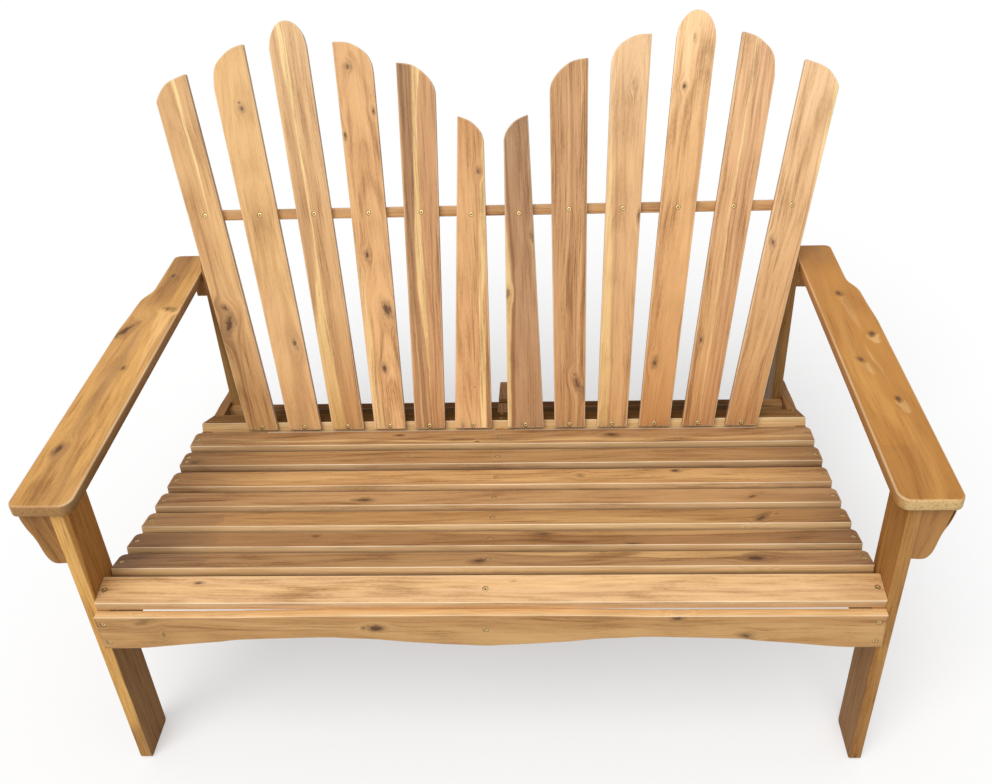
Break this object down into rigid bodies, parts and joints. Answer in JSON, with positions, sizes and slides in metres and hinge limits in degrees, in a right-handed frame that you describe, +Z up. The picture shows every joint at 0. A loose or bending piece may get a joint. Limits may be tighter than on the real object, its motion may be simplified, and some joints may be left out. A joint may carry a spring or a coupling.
{
  "type": "adirondack loveseat",
  "caption": "Slatted wooden adirondack loveseat with a fanned double-arched back, flat wide arms and a low seat that slopes to the rear.",
  "frame": {"origin": "on the floor, under the middle of the bench's bounding box", "axes": "+X along the bench to the right of someone who looks at its front, +Y to its rear, +Z up"},
  "size_m": [1.314, 0.8694, 0.9952],
  "materials": {
    "golden_acacia": "oiled, satin",
    "orange_acacia": "oiled, satin",
    "brown_acacia": "oiled, handled, satin",
    "dark_acacia": "oiled, matt",
    "zinc_plated_steel": "yellowish zinc plating"
  },
  "bodies": {
    "root": {"front_leg_left": "golden_acacia", "front_leg_right": "golden_acacia", "arm_left": "golden_acacia", "arm_right": "golden_acacia", "arm_bracket_left": "golden_acacia", "arm_bracket_right": "golden_acacia", "back_slat_1": "orange_acacia", "back_slat_2": "orange_acacia", "back_slat_3": "orange_acacia", "back_slat_4": "orange_acacia", "back_slat_5": "orange_acacia", "back_slat_6": "orange_acacia", "back_slat_7": "orange_acacia", "back_slat_8": "orange_acacia", "back_slat_9": "orange_acacia", "back_slat_10": "orange_acacia", "back_slat_11": "orange_acacia", "back_slat_12": "orange_acacia", "front_apron": "brown_acacia", "seat_slat_1": "brown_acacia", "seat_slat_2": "brown_acacia", "seat_slat_3": "brown_acacia", "seat_slat_4": "brown_acacia", "seat_slat_5": "brown_acacia", "seat_slat_6": "brown_acacia", "seat_slat_7": "brown_acacia", "seat_slat_8": "brown_acacia", "seat_stringer_left": "dark_acacia", "seat_stringer_centre": "dark_acacia", "seat_stringer_right": "dark_acacia", "lower_back_rail": "dark_acacia", "upper_back_rail": "dark_acacia", "rear_stretcher": "dark_acacia", "rear_post_left": "dark_acacia", "rear_post_right": "dark_acacia", "rear_arm_cleat_left": "dark_acacia", "rear_arm_cleat_right": "dark_acacia", "apron_screw_1": "zinc_plated_steel", "apron_screw_2": "zinc_plated_steel", "apron_screw_3": "zinc_plated_steel", "apron_screw_4": "zinc_plated_steel", "apron_screw_5": "zinc_plated_steel", "lower_rail_screw_1": "zinc_plated_steel", "lower_rail_screw_2": "zinc_plated_steel", "lower_rail_screw_3": "zinc_plated_steel", "lower_rail_screw_4": "zinc_plated_steel", "lower_rail_screw_5": "zinc_plated_steel", "lower_rail_screw_6": "zinc_plated_steel", "upper_rail_screw_1": "zinc_plated_steel", "upper_rail_screw_2": "zinc_plated_steel", "stretcher_screw_1": "zinc_plated_steel", "leg_screw_1": "zinc_plated_steel", "leg_screw_2": "zinc_plated_steel", "leg_screw_3": "zinc_plated_steel", "leg_screw_4": "zinc_plated_steel", "post_screw_1": "zinc_plated_steel", "post_screw_2": "zinc_plated_steel", "post_screw_3": "zinc_plated_steel", "post_screw_4": "zinc_plated_steel"}
  },
  "joints": []
}
